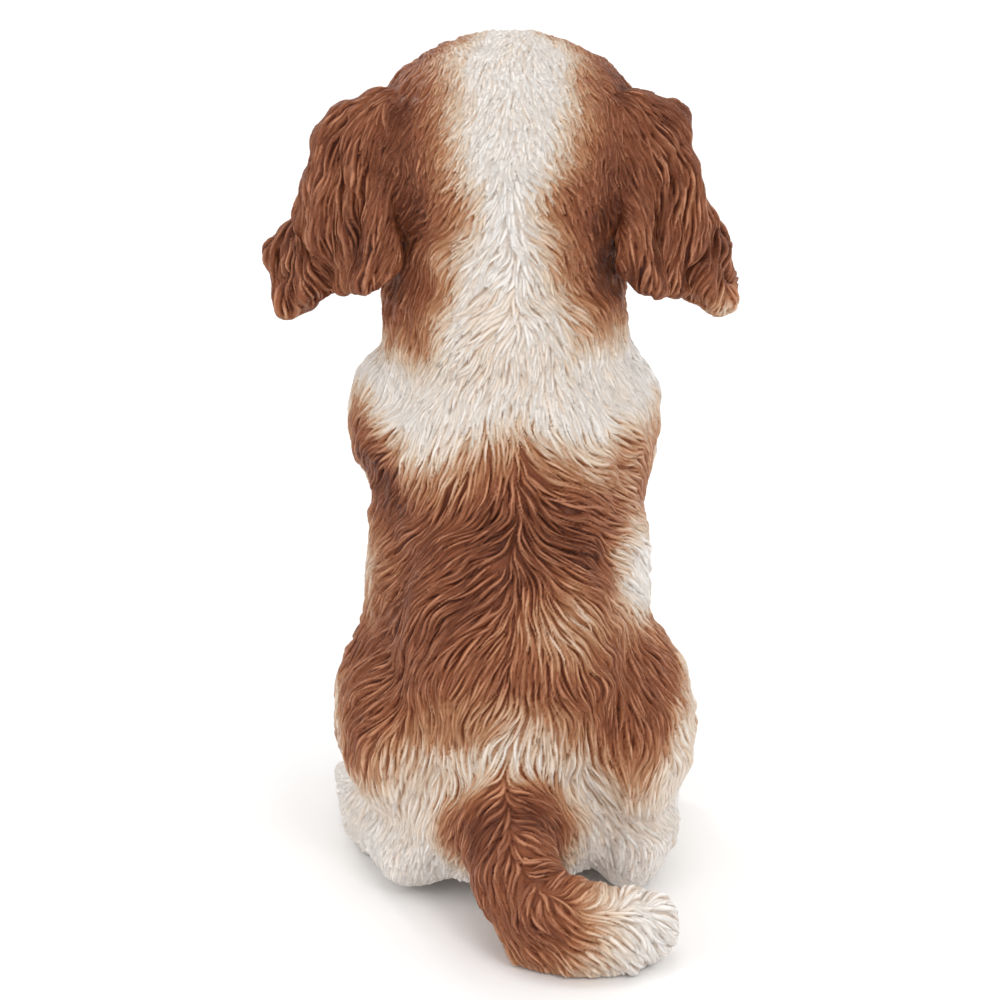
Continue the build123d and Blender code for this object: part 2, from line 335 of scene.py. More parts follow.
def on_skin(clay, line, side=1):
    """A line through these places, drawn on the surface of the clay."""
    knots = np.array([place(side * x, y, z) for x, y, z in line])
    ticks = np.linspace(0, len(knots) - 1, 4 * len(knots) - 3)
    at = np.stack([np.interp(ticks, np.arange(len(knots)), knots[:, i]) for i in range(3)], axis=1)
    for _ in range(8):
        at = at - clay.slope(at) * clay.at(at)[:, None]
    return at


def groove(at, radius, ends=1.0):
    """A rod along the line, for carving, with its ends finer by this factor."""
    swell = ends + (1.0 - ends) * np.sin(np.pi * np.linspace(0.0, 1.0, len(at)))
    return rod([(*(p - place(0, 0, 0)), radius * s) for p, s in zip(at, swell)])


def mouth_line(side):
    """From under the nose down the cleft of the lip, then along the lower edge of one side of it."""
    top = SKULL[2]
    line = [(0, -50.5, top - 11.0), (0, -48.5, top - 14.0), (0, -46.5, top - 16.4),
            (2.2, -47.4, top - 17.6), (4.6, -47.2, top - 18.3), (7.4, -45.4, top - 18.4),
            (9.8, -42.4, top - 18.0), (11.8, -38.8, top - 16.8)]
    return on_skin(fields["head"], line, side)


def add_nose(clay):
    """The ball of the nose, its wings, and the nostrils with their slits."""
    top = SKULL[2]
    clay.add(ellipsoid((0, -48.2, top - 8.0), (4.9, 3.9, 3.7), (-12, 0, 0)), 1.0)
    for side in BOTH:
        clay.add(ellipsoid((side * 3.2, -49.0, top - 8.8), (2.3, 2.6, 2.3)), 1.2)
        nostril = ellipsoid((side * 2.4, -51.9, top - 8.8), (1.15, 1.7, 0.85), (0, side * -20, side * 20))
        clay.carve(nostril, 0.5)
        clay.carve(rod([(side * 3.4, -51.2, top - 8.9, 0.55), (side * 4.9, -49.4, top - 9.6, 0.3)]), 0.5)


def set_eyes(clay):
    """Lids over each eye, with the eye's own space and a round opening cut out of them."""
    ahead = Vector((math.sin(math.radians(EYE_TURN)), -math.cos(math.radians(EYE_TURN)), 0.05))
    for side in BOTH:
        at = (side * EYE[0], EYE[1] - Y0, EYE[2])
        clay.add(ellipsoid(at, (EYE_RADIUS + 1.7, EYE_RADIUS + 0.9, EYE_RADIUS + 1.1)), 2.0)
        clay.carve(ellipsoid(at, (EYE_RADIUS - 0.15,) * 3), 0.3)
        tip = (at[0] + side * ahead[0] * 6, at[1] + ahead[1] * 6, at[2] + 0.2)
        opening = (EYE_RADIUS - 0.5, 5.4, EYE_RADIUS - 1.3)
        clay.carve(ellipsoid(tip, opening, (0, side * -8, side * EYE_TURN)), 0.5)


def ear_clay(narrower, hollow):
    """The left ear's flap, and the tuft over its root that carries the line of the skull on to it."""
    tuft = ellipsoid((23.8, -5.5, 147.6), (6.0, 5.0, 6.0), (0, 25, 0))
    return Clay().add(ear_flap(narrower, hollow)).add(tuft, 3.0)


TOE_SPREAD = 3.0          # degrees that a toe turns out for each millimetre from the paw's middle
TOE_GROOVE = 0.65         # radius


def toes(clay, centre, turn, half, places):
    """Adds the toes of one paw: how far each lies from the paw's middle, and how far it reaches forward."""
    x, y, z = centre
    for aside, reach in places:
        clay.add(ellipsoid((x + aside, y - reach, z), half, (0, 0, turn + TOE_SPREAD * aside)), 1.0)


def part_toes(clay, line):
    clay.carve(groove(on_skin(clay, line), TOE_GROOVE), 0.8)


def foreleg_clay(out):
    """The left foreleg, with its shoulder moved outwards by so many millimetres."""
    clay = Clay()
    clay.add(column([
        (4.0, 7.6, 8.2, 15.8, -28.0), (20.0, 7.2, 8.0, 16.0, -26.5), (38.0, 7.4, 8.6, 16.6, -22.5),
        (56.0, 8.2, 10.0, 17.6, -17.5), (78.0, 8.4, 11.8, 18.5, -11.0),
    ]))
    clay.add(ellipsoid((19.4 + out, -8.0, 88.0), (11.4, 16.4, 14.6)), 5.0)
    clay.add(ellipsoid((15.8, -31.0, 6.4), (8.8, 11.0, 7.6)), 4.0)
    toes(clay, (15.8, -38.6, 4.8), 0.0, (2.5, 5.4, 4.4), ((-5.6, 0.0), (-1.9, 1.8), (2.0, 1.8), (5.7, 0.0)))
    for x in (-3.8, 0.0, 3.9):
        part_toes(clay, [(15.8 + x, -46.0, 1.5), (15.8 + x, -46.0, 6.0),
                         (15.8 + 0.9 * x, -42.5, 10.5), (15.8 + 0.7 * x, -38.0, 13.0)])
    return clay


def hind_leg_clay(slim, splay):
    """The left hind leg, with its thigh made slimmer or its heel moved outwards by so many millimetres."""
    clay = Clay()
    clay.add(ellipsoid((21.2, 10.0, 31.0 + slim), (14.0 - slim, 24.0, 19.6 - 1.2 * slim), (-14, 0, 0)))
    clay.add(rod([(18.6 + splay, 25.0, 8.4, 7.0), (21.6 + 0.6 * splay, 14.0, 9.4, 9.0), (24.4, 3.0, 8.6, 9.6),
                  (26.6, -8.0, 7.6, 8.4), (27.6, -13.0, 7.0, 7.2)]), 2.5)
    toes(clay, (28.0, -15.6, 4.8), 6.0, (2.4, 5.0, 4.2), ((-5.2, 0.0), (-1.8, 1.6), (1.8, 1.6), (5.2, 0.2)))
    for x in (-3.5, 0.0, 3.5):
        part_toes(clay, [(28.3 + x, -22.5, 1.5), (28.3 + x, -22.5, 6.0),
                         (28.0 + 0.9 * x, -19.0, 10.0), (27.6 + 0.7 * x, -15.0, 12.5)])
    return clay


# The tail's middle line, from the rump to the tip: place and radius
TAIL = [
    (0.8, 32.0, 22.5, 8.8), (-0.2, 41.0, 17.4, 8.3), (-2.0, 48.0, 12.8, 8.0), (-6.5, 54.0, 9.8, 7.9),
    (-14.0, 57.0, 8.8, 7.7), (-20.5, 56.8, 8.4, 7.2), (-25.5, 55.2, 8.2, 5.8),
]


def tail_clay():
    """The tail, with its lower part pressed down on to the ground."""
    resting = [(x, y, min(z, 6.4), r * 0.97) for x, y, z, r in TAIL if z < 12.0]
    return Clay().add(rod(TAIL)).add(rod(resting), 2.0)


# ---------------- skin the clay

def ear_root(ear, head):
    """1 along the line where an ear meets the head, from the signed distances to both."""
    return np.exp(-((ear - head) / 1.8) ** 2 - (np.abs(ear + head) / 6.0) ** 2)


fields = {"torso": torso_clay(), "head": head_clay(), "tail": tail_clay()}
for name, sculpt, left, right in (
    ("ear", ear_clay, (0.0, 5.0), (2.8, 3.0)),
    ("foreleg", foreleg_clay, (0.5,), (-1.2,)),
    ("hind_leg", hind_leg_clay, (1.5, 0.0), (-1.2, 5.0)),
):
    fields[name + "_left"] = sculpt(*left)
    fields[name + "_right"] = sculpt(*right).mirrored()

EAR_CREASE = 0.9      # depth of the crease where an ear meets the head
MOUTH_RADIUS = 0.5

# Every part is joined to the torso, with its corner rounded over so many millimetres
body = Clay(fields["torso"].field.copy())
for name, blend in (("head", 6.0), ("foreleg_left", 4.0), ("foreleg_right", 4.0), ("hind_leg_left", 3.5),
                    ("hind_leg_right", 3.5), ("tail", 5.0), ("ear_left", 3.5), ("ear_right", 3.5)):
    body.field = soft_min(body.field, fields[name].field, blend)
furrows = []
for side, name in zip(BOTH, ("ear_left", "ear_right")):
    body.field += EAR_CREASE * ear_root(fields[name].field, fields["head"].field)
    furrows += [groove(on_skin(body, line, side), FURROW_RADIUS, 0.2) for line in EAR_FURROWS]
for furrow in furrows:
    body.carve(furrow, 1.8)
MOUTH = [mouth_line(side) for side in BOTH]
for line in MOUTH:
    body.carve(groove(line, MOUTH_RADIUS), 0.5)
add_nose(body)
set_eyes(body)
ground = body.low[2] + VOXEL * np.arange(body.size[2])
body.field = np.maximum(body.field, (SOLE - ground)[None, None, :].astype(np.float32))


def skin(clay):
    """A smooth mesh of quads on the clay's surface: points and quads."""
    grid = openvdb.FloatGrid()
    grid.copyFromArray(clay.field)
    points, quads = grid.convertToQuads(isovalue=0.0)
    mesh = bpy.data.meshes.new("skin")
    mesh.from_pydata(points * VOXEL + clay.low, [], quads[:, ::-1].tolist())
    obj = new_object("skin", mesh)
    obj.modifiers.new("finer", "SUBSURF").levels = 1
    finer = obj.evaluated_get(bpy.context.evaluated_depsgraph_get()).to_mesh()
    co = np.empty(len(finer.vertices) * 3, np.float32)
    finer.vertices.foreach_get("co", co)
    loops = np.empty(len(finer.loops), np.int32)
    finer.loops.foreach_get("vertex_index", loops)
    bpy.data.objects.remove(obj)
    bpy.data.meshes.remove(mesh)
    return co.reshape(-1, 3).astype(float), loops.reshape(-1, 4)


def vertex_normals(points, quads):
    p = points[quads]
    normal = np.cross(p[:, 2] - p[:, 0], p[:, 3] - p[:, 1])
    shares = [np.bincount(quads.ravel(), np.repeat(normal[:, i], 4), len(points)) for i in range(3)]
    return unit(np.stack(shares, axis=1))


points, quads = skin(body)
normals = body.slope(points)


# ---------------- how the coat lies

# Length, width and height of the locks of each kind of hair
BACK, CROWN, NAPE, EAR = (11.5, 0.92, 0.62), (4.6, 0.85, 0.38), (7.0, 0.98, 0.52), (12.0, 1.05, 0.8)
LEG, PAW, CHEST, FACE = (6.0, 1.1, 0.42), (3.4, 0.9, 0.22), (9.0, 1.3, 0.6), (3.6, 0.85, 0.24)
MUZZLE, TAIL_FUR, RUMP = (2.2, 0.75, 0.11), (8.0, 1.2, 0.64), (9.5, 1.15, 0.55)

# Where the left half has each kind of hair, and which way it runs there: place, direction
GUIDES = {
    MUZZLE: (
        (1, -46, 136, 0.1, 0.7, 0.7), (1, -50, 125, 0.5, 0.3, -0.8), (8, -46, 127, 0.5, 0.8, -0.35),
        (12, -38, 127, 0.3, 0.9, -0.3), (1, -42, 117, 0.1, 0.9, -0.5), (6, -41, 136, 0.5, 0.5, 0.4),
    ),
    FACE: (
        (1, -38, 143, 0.1, 0.3, 1), (12, -38, 144, 0.3, 0.3, 0.9), (18, -33, 137, 0.7, 0.6, -0.3),
        (20, -30, 128, 0.5, 0.7, -0.6), (14, -34, 118, 0.2, 0.7, -0.8), (1, -34, 154, 0.1, 0.8, 0.7),
    ),
    CROWN: (
        (24, -20, 126, 0.3, 0.5, -0.9), (10, -30, 156, 0.25, 0.8, 0.5), (20, -24, 150, 0.6, 0.7, -0.1),
        (1, -14, 164, 0.1, 1, 0), (12, -12, 162, 0.3, 0.9, -0.2), (22, -10, 154, 0.55, 0.5, -0.7),
        (1, 4, 160, 0.12, 0.8, -0.6), (12, 6, 156, 0.3, 0.6, -0.8), (22, 2, 152, 0.3, 0.2, -1),
        (2, 14, 148, 0.25, 0.2, -1), (12, 12, 146, 0.35, 0.1, -1), (21, 6, 142, 0.15, 0, -1),
    ),
    NAPE: (
        (2, 15, 134, 0.45, 0, -1), (12, 13, 132, 0.6, -0.1, -1), (21, 5, 128, 0.35, -0.1, -1),
        (2, 13, 120, 0.5, 0, -1), (13, 10, 119, 0.85, -0.2, -0.8), (21, 2, 116, 0.5, -0.2, -1),
        (2, 13, 108, 0.4, 0.1, -1), (13, 11, 106, 0.55, 0, -1), (23, -4, 104, 0.45, 0, -0.9),
        (2, 16, 99, 0.25, 0.2, -1), (11, 15, 97, 0.45, 0.1, -1), (21, 7, 96, 0.4, -0.1, -1),
        (30, -8, 94, 0.3, -0.1, -1), (30, -16, 84, 0.05, -0.2, -1),
    ),
    BACK: (
        (2, 20, 90, 0.4, 0.2, -0.9), (11, 18, 89, 0.7, 0, -0.75), (2, 22, 82, 0.5, 0.2, -0.85),
        (10, 21, 81, 0.9, 0, -0.5), (20, 14, 79, 0.9, -0.4, -0.6), (2, 26, 72, 0.5, 0.2, -0.85),
        (10, 25, 71, 0.9, 0, -0.5), (20, 18, 69, 0.85, -0.4, -0.6), (27, 3, 67, 0.25, -0.6, -0.8),
        (2, 30, 61, 0.4, 0.2, -0.9), (10, 29, 60, 0.85, 0, -0.6), (20, 22, 57, 0.6, -0.3, -0.8),
        (28, 6, 55, 0.15, -0.5, -0.9), (2, 34, 49, 0.3, 0.1, -0.95), (11, 33, 47, 0.65, 0, -0.8),
        (21, 26, 45, 0.4, -0.1, -0.95), (2, 38, 38, 0.15, 0.1, -1), (11, 37, 36, 0.3, 0.1, -1),
        (31, 16, 42, 0.3, -0.1, -1),
    ),
    RUMP: (
        (22, 8, 87, 0.45, -0.2, -0.9), (30, -8, 84, 0.15, -0.2, -1), (28, -2, 77, 0.2, -0.5, -0.9),
        (20, 31, 35, 0.25, 0, -1), (34, 0, 32, 0.1, -0.5, -0.9), (6, 38, 28, -0.15, 0.2, -1),
        (24, 31, 26, 0.15, 0.1, -1), (33, 18, 24, 0.12, 0, -1), (27, -5, 153, 0.8, 0.2, 0.1),
    ),
    CHEST: (
        (1, -30, 104, 0.1, -0.3, -1), (10, -28, 100, -0.15, -0.3, -1), (1, -33, 88, 0.1, -0.1, -1),
        (10, -29, 84, -0.2, 0, -1), (1, -26, 66, 0, 0.1, -1), (20, -24, 92, 0.1, -0.2, -1),
        (17, -14, 60, 0, 0.5, -0.9),
    ),
    LEG: (
        (30, -10, 28, 0, -0.7, -0.7), (10, 37, 16, 0.1, 0, -1), (24, 32, 13, 0.1, 0.05, -1),
        (31, 18, 10, 0.1, -0.1, -1), (32, 2, 8, 0.3, -0.7, -0.5), (1, -24, 40, 0, 0.1, -1),
        (22, -22, 66, 0.05, 0.1, -1), (18, -30, 46, 0, -0.1, -1), (16, -18, 36, 0, 0.4, -0.9),
        (16, -34, 24, 0, -0.2, -1),
    ),
    PAW: (
        (20, 32, 5, 0.05, 0, -1), (30, -10, 10, 0.2, -0.9, -0.3), (28, -20, 6, 0.1, -1, -0.3),
        (22, -8, 12, 0, -1, -0.2), (16, -36, 12, 0, -0.7, -0.7), (16, -42, 6, 0, -1, -0.4),
        (24, -30, 6, 0.3, -0.6, -0.7), (8, -30, 6, -0.3, -0.6, -0.7), (16, -22, 4, 0, -0.2, -1),
    ),
    EAR: (
        (34, -8, 149, 0.7, 0.2, -0.6), (28, -2, 144, 0.6, 0, -1), (38, -10, 140, 0.45, 0, -1),
        (27, -2, 134, -0.15, 0, -1), (34, -6, 132, 0.45, 0, -1), (42, -12, 129, 0.6, 0, -0.9),
        (27, -2, 122, -0.35, 0, -1), (36, -8, 121, -0.2, 0, -1), (46, -14, 119, 0.1, 0, -1),
        (36, -8, 111, -0.3, 0, -1), (45, -13, 110, -0.15, 0, -1),
    ),
}
GUIDE_REACH = 5.5    # a guide's influence falls off over this distance
POINTS_AT_ONCE = 20000
FEATHER_TOP = unit(np.array([0.0, 0.6, 0.8]))    # the tail's hair parts along this side of it


def guide_table():
    """A row of place, unit direction and lock size for each guide."""
    rows = np.array([[*row, *size] for size, group in GUIDES.items() for row in group], float)
    rows[:, 1] += Y0
    rows[:, 3:6] = unit(rows[:, 3:6])
    return rows


GUIDE = guide_table()


def parting(points):
    """Where the parting lies along X: it wanders a little down the back, and is straight on the face."""
    heights = [20.0, 40.0, 52.0, 62.0, 75.0, 93.0, 112.0, 140.0]
    wander = smooth_steps(points[:, 2], heights, [0.0, -0.6, 1.0, 0.6, -0.8, -2.0, -1.6, 0.0], 4.0)
    wander = wander + 0.8 * np.sin(0.55 * points[:, 2] + 1.0) + 0.5 * np.sin(1.3 * points[:, 2])
    return wander * np.clip((points[:, 1] - Y0) / 10.0, 0.0, 1.0)


def feathered(points):
    """The direction of the tail's hair, away from its parting on both sides, and 1 on the tail, 0 off it."""
    best = np.full(len(points), 99.0)
    along, radial = np.zeros_like(points), np.zeros_like(points)
    for (*a, ra), (*b, rb) in zip(TAIL, TAIL[1:]):
        a, b = place(*a), place(*b)
        t = np.clip((points - a) @ (b - a) / ((b - a) @ (b - a)), 0.0, 1.0)[:, None]
        off = points - a - t * (b - a)
        gap = np.linalg.norm(off, axis=1) - (ra + t[:, 0] * (rb - ra))
        closer = gap < best
        best[closer] = gap[closer]
        along[closer] = unit(b - a)
        radial[closer] = off[closer]
    radial = unit(radial)
    away = (radial @ FEATHER_TOP)[:, None] * radial - FEATHER_TOP
    away = away / np.maximum(np.linalg.norm(away, axis=1, keepdims=True), 0.25)
    return unit(0.7 * along + 0.8 * away), fade(best, 3.0, 2.5)


def coat(points):
    """Direction of the hair, and length, width and height of the locks, at any points."""
    side = np.where(points[:, 0] < parting(points), -1.0, 1.0)
    folded = points.copy()
    folded[:, 0] = np.abs(points[:, 0] - parting(points))
    result = np.empty((len(points), 6))
    for start in range(0, len(points), POINTS_AT_ONCE):
        part = folded[start:start + POINTS_AT_ONCE]
        gap = (part ** 2).sum(axis=1)[:, None] + (GUIDE[:, :3] ** 2).sum(axis=1) - 2 * part @ GUIDE[:, :3].T
        gap -= gap.min(axis=1, keepdims=True)
        weight = np.exp(-gap / (2 * GUIDE_REACH ** 2))
        result[start:start + POINTS_AT_ONCE] = weight @ GUIDE[:, 3:] / weight.sum(axis=1, keepdims=True)
    result[:, 0] *= side * np.clip(folded[:, 0] / 2.0, 0.15, 1.0)
    # the hair on the right of the back runs more level
    level = np.clip(-points[:, 0] / 8.0, 0.0, 1.0)
    level = level * np.clip(1.5 - np.abs(points[:, 2] - 78.0) / 12.0, 0.0, 1.0)
    result[:, 2] *= 1.0 - 0.5 * level * (points[:, 1] > Y0 + 5.0)
    feather, on_tail = feathered(points)
    on_tail = on_tail[:, None]
    along = (1 - on_tail) * unit(result[:, :3]) + on_tail * feather
    size = (1 - on_tail) * result[:, 3:] + on_tail * np.array(TAIL_FUR)
    return along, size[:, 0], size[:, 1], size[:, 2]


def from_mouth(points):
    """Distance from the line of the mouth, for points on the muzzle, and a long way for all others."""
    gap = np.full(len(points), FAR)
    muzzle = np.nonzero(points[:, 1] < Y0 - 34.0)[0]
    for line in MOUTH:
        for a, b in zip(line, line[1:]):
            off = points[muzzle] - a
            t = np.clip((off @ (b - a)) / ((b - a) @ (b - a)), 0, 1)
            gap[muzzle] = np.minimum(gap[muzzle], np.linalg.norm(off - t[:, None] * (b - a), axis=1))
    return gap


def bare(points):
    """1 where there is no fur (nose, lids, lips, soles), 0 elsewhere."""
    local = points - place(0, 0, 0)
    local[:, 0] = np.abs(local[:, 0])
    nose = np.linalg.norm((local - (0, -49.0, SKULL[2] - 8.3)) / (6.6, 5.0, 5.2), axis=1)
    eye = np.linalg.norm(local - (EYE - (0, Y0, 0)), axis=1) / (EYE_RADIUS + 1.6)
    smooth = np.maximum(fade(nose, 1.25, 0.2), fade(eye, 1.15, 0.2))
    smooth = np.maximum(smooth, fade(from_mouth(points), 2.0, 0.6))
    return np.maximum(smooth, fade(local[:, 2], SOLE + 0.9, 0.6))


class Buckets:
    """The skin's points sorted into small cubes, to find those near any place."""

    def __init__(self, points, size):
        self.size, self.low = size, points.min(axis=0) - 2 * size
        self.span = np.ceil((points.max(axis=0) - self.low) / size).astype(np.int64) + 3
        keys = self.key(np.floor((points - self.low) / size).astype(np.int64))
        self.order = np.argsort(keys, kind="stable")
        self.sorted = keys[self.order]

    def key(self, cell):
        return (cell[:, 0] * self.span[1] + cell[:, 1]) * self.span[2] + cell[:, 2]

    def near(self, places):
        """Pairs (place, point) for every point in the 27 cubes round each place."""
        cell = np.clip(np.floor((places - self.low) / self.size).astype(np.int64), 1, self.span - 2)
        whose, found = [], []
        for i in (-1, 0, 1):
            for j in (-1, 0, 1):
                first = np.searchsorted(self.sorted, self.key(cell + (i, j, -1)), "left")
                last = np.searchsorted(self.sorted, self.key(cell + (i, j, 1)), "right")
                count = last - first
                owner = np.repeat(np.arange(len(places)), count)
                start = np.repeat(first - np.concatenate([[0], np.cumsum(count)[:-1]]), count)
                whose.append(owner)
                found.append(self.order[start + np.arange(len(owner))])
        return np.concatenate(whose), np.concatenate(found)


SPACINGS = np.array([0.95, 1.25, 1.65, 2.1, 4.6])    # between roots; the last is for the broad tufts
STRIDE = 0.95            # locks are laid in steps of about this length
LOCK_DEPTH = 1.6         # a lock lies only on skin this near to it, above or below
LOCKS_AT_ONCE = 8000
MOST_CELLS = 4096        # more than there are cubes along any axis


def plant(points, spacing, seed):
    """Scattered roots: one of the skin's points in each cube, of the size nearest to the spacing wanted."""
    order = np.random.default_rng(seed).permutation(len(points))
    kind = np.abs(np.log(spacing[order, None] / SPACINGS)).argmin(axis=1)
    chosen = []
    for i, size in enumerate(SPACINGS):
        some = order[kind == i]
        cell = np.floor(points[some] / size + seed * 0.37).astype(np.int64)
        cubes = (cell[:, 0] * MOST_CELLS + cell[:, 1]) * MOST_CELLS + cell[:, 2]
        _, first = np.unique(cubes, return_index=True)
        chosen.append(some[np.sort(first)])
    return np.concatenate(chosen)


def comb(points, roots, buckets, scale, seed):
    """Lays one lock from each root along the coat. Returns, for each of the skin's points, the height of the
    highest lock over it, that lock's number, the way along it, the place across it and its root."""
    draw = np.random.default_rng(seed)
    count = len(roots)
    at = points[roots].copy()
    _, length, width, height = coat(at)
    short = fade(length, 9.5, 4.0)    # short hair lies like shingles, long hair like ripples
    length = length * scale[0] * draw.uniform(0.65, 1.25, count)
    width = width * scale[1] * draw.uniform(0.75, 1.25, count)
    height = height * scale[2] * draw.uniform(0.7, 1.25, count) * (1 - bare(at))
    lean = draw.normal(0.0, 1.0, count) * (0.08 + 0.08 * short)
    bend = draw.normal(0.0, 0.3, count)
    steps = np.ceil(length / STRIDE)
    stride = length / steps
    best = np.zeros(len(points))
    number = np.full(len(points), -1, np.int64)
    way, side = np.zeros(len(points)), np.zeros(len(points))
    for step in range(int(steps.max()) + 1):
        live = np.nonzero((height > 0.02) & (step <= steps))[0]
        here = at[live]
        along, *_ = coat(here)
        out = body.slope(here)
        swirl = 0.5 * noise(here, 15.0, 3.1) + 0.45 * noise(here, 7.0, 9.7) + 0.2 * noise(here, 3.0, 4.4)
        along = unit(along - out * (along * out).sum(axis=1, keepdims=True))
        turn = (lean[live] + bend[live] * (step / steps[live] - 0.4) + swirl)[:, None]
        along = unit(along * np.cos(turn) + np.cross(out, along) * np.sin(turn))
        across = np.cross(out, along)
        for start in range(0, len(live), LOCKS_AT_ONCE):
            some = slice(start, start + LOCKS_AT_ONCE)
            whose, found = buckets.near(here[some])
            whose += start
            lock = live[whose]
            gap = points[found] - here[whose]
            u = (gap * along[whose]).sum(axis=1)
            v = (gap * across[whose]).sum(axis=1)
            near = (np.abs(u) <= 0.62 * stride[lock]) & (np.abs(v) < width[lock] * 0.5)
            lock, whose, found, gap, u, v = (a[near] for a in (lock, whose, found, gap, u, v))
            s = np.clip(step / steps[lock] + u / length[lock], 0.0, 1.0)
            q = short[lock]
            taper = np.minimum(0.3 + 0.3 * q + 2.0 * s, 1.0) * (1.0 - s ** (2.2 + q)) ** 0.8
            x = 2 * np.abs(v) / (width[lock] * np.maximum(taper, 0.02))
            depth = (gap * out[whose]).sum(axis=1)
            near = (x < 1.0) & (np.abs(depth) < LOCK_DEPTH)
            lock, found, s, x, v, q = (a[near] for a in (lock, found, s, x, v, q))
            shingle = 0.2 + 0.8 * np.minimum(s / 0.8, 1.0)
            ripple = 0.3 + 0.7 * np.sin(np.pi * s) ** 0.7
            h = height[lock] * (q * shingle + (1 - q) * ripple) * (1.0 - x ** 2.2)
            rank = np.argsort(h, kind="stable")
            found, h, lock, s, v = (a[rank] for a in (found, h, lock, s, v))
            better = h > best[found]
            found = found[better]
            best[found] = h[better]
            number[found] = lock[better]
            way[found] = s[better]
            side[found] = v[better]
        at[live] = here + along * stride[live, None]
        at[live] -= body.slope(at[live]) * body.at(at[live])[:, None]
    root = np.where((number >= 0)[:, None], points[roots[np.maximum(number, 0)]], points)
    return best, number, way, side, root


RELIEF_ROUNDS = 20


def smoothed(values, quads, times):
    """Values at the skin's points, averaged with their neighbours so many times."""
    ahead = np.concatenate([quads[:, i] for i in range(4)])
    behind = np.concatenate([quads[:, (i + 1) % 4] for i in range(4)])
    share = np.bincount(ahead, minlength=len(values)) + 1.0
    for _ in range(times):
        values = (values + np.bincount(ahead, values[behind], len(values))) / share
    return values


LOCK_SHARE = 0.26    # of a lock's length times width, that each root has to itself
LOCK_SCALE, TUFT_SCALE = (1.0, 1.0, 1.0), (1.5, 3.0, 1.3)    # on the coat's own length, width and height
_, lock_length, lock_width, lock_height = coat(points)
skin_bare = bare(points)
tuft_roots = plant(points, np.full(len(points), SPACINGS[-1]), 1)
tufts, *_ = comb(points, tuft_roots, Buckets(points, 2.0), TUFT_SCALE, 21)
fine_roots = plant(points, np.sqrt(LOCK_SHARE * lock_length * lock_width), 2)
fine_combed = comb(points, fine_roots, Buckets(points, 1.0), LOCK_SCALE, 22)
locks, lock_number, lock_way, lock_side, lock_root = fine_combed
# The skin is raised by the locks and tufts over it, with soft lumps under them where there is fur
lumps = 0.5 * noise(points, 6.0) + 0.5 * noise(points, 3.0, 5.5) + 0.08 * noise(points, 1.6)
lift = locks + 0.75 * tufts + (lumps * np.clip(lock_height / 0.5, 0.2, 1.0) - 0.45) * (1 - skin_bare)
relief = locks - smoothed(locks, quads, RELIEF_ROUNDS)
ridge = np.clip(0.5 + relief / (0.2 + 0.75 * lock_height), 0.0, 1.0)
furred = points + normals * lift[:, None]
furred[:, 2] = np.maximum(furred[:, 2], SOLE - 0.1)


# ---------------- paint

def inside(distance, soft):
    """0 to 1 across an edge this soft, for a distance that is positive inside."""
    return np.clip(0.5 + distance / (2 * soft), 0.0, 1.0)


def edge(at, stops):
    """A smooth curve through (place, value) stops."""
    places, values = zip(*stops)
    return smooth_steps(at, places, values, 2.0)


def spot(local, at, half):
    """How far inside an egg-shaped spot, in millimetres."""
    near = np.linalg.norm((local - at) / half, axis=1)
    return (1.0 - near) * min(half)


# How much brown the airbrush laid down, darkened further by painted shade in places: 0 white, 0.22 cream,
# 0.42 tan, 0.84 chestnut, 1 dark chestnut
CHESTNUT = 0.84

# Edges of the coat's patches, as (place, value) stops. The white blaze, which widens into the nape, has a
# half width at each height. The saddle has a top and a bottom at each X, and a front edge at each height.
BLAZE_LEFT = ((96, 20), (106, 16), (111, 15), (118, 12.5), (126, 10.5), (134, 9), (142, 10), (150, 11.5),
              (160, 12), (168, 7))
BLAZE_RIGHT = ((96, 20), (106, 16), (114, 13), (120, 9.5), (127, 8), (134, 7.5), (140, 9), (148, 12.5),
               (158, 14), (168, 14))
BLAZE_FRONT = ((112, 22), (118, 20), (124, 18), (129, 14.5), (133, 9.5), (137, 5.5), (142, 4.2), (148, 4.5),
               (156, 6), (164, 8))
SADDLE_TOP = ((-36, 92), (-30, 90), (-25, 88), (-20, 86), (-14, 87), (-8, 89), (-1.5, 93), (2, 91), (8, 88.5),
              (15, 86), (22, 87), (26, 92), (36, 96))
SADDLE_BOTTOM = ((-38, 52), (-34, 41), (-29, 30), (-24, 27), (-19, 30), (-14, 38), (-7, 41), (0, 42), (8, 40),
                 (14, 39), (20, 36), (26, 30), (31, 26), (38, 30))
SADDLE_FRONT = ((20, -14), (36, -12), (50, -6), (64, -3), (78, -4), (96, -4))

# Lighter spots left in the saddle: amount of brown, middle, half sizes, softness of the edge
LIGHT_SPOTS = (
    (0.5, (-23, 14, 80), (7, 14, 9), 4.5), (0.0, (-24.5, 11, 62.5), (8.5, 14, 10.0), 4.5),
    (0.5, (-10.5, 32, 59.5), (10.5, 11, 8.0), 5.0), (0.32, (27, 9, 63), (5.5, 12, 8), 4.0),
    (0.3, (-37, 8, 38), (8, 18, 16), 4.0), (0.6, (9, 36, 44), (7, 8, 5), 4.0),
    (0.3, (34, 14, 36), (5, 11, 9), 3.5),
)
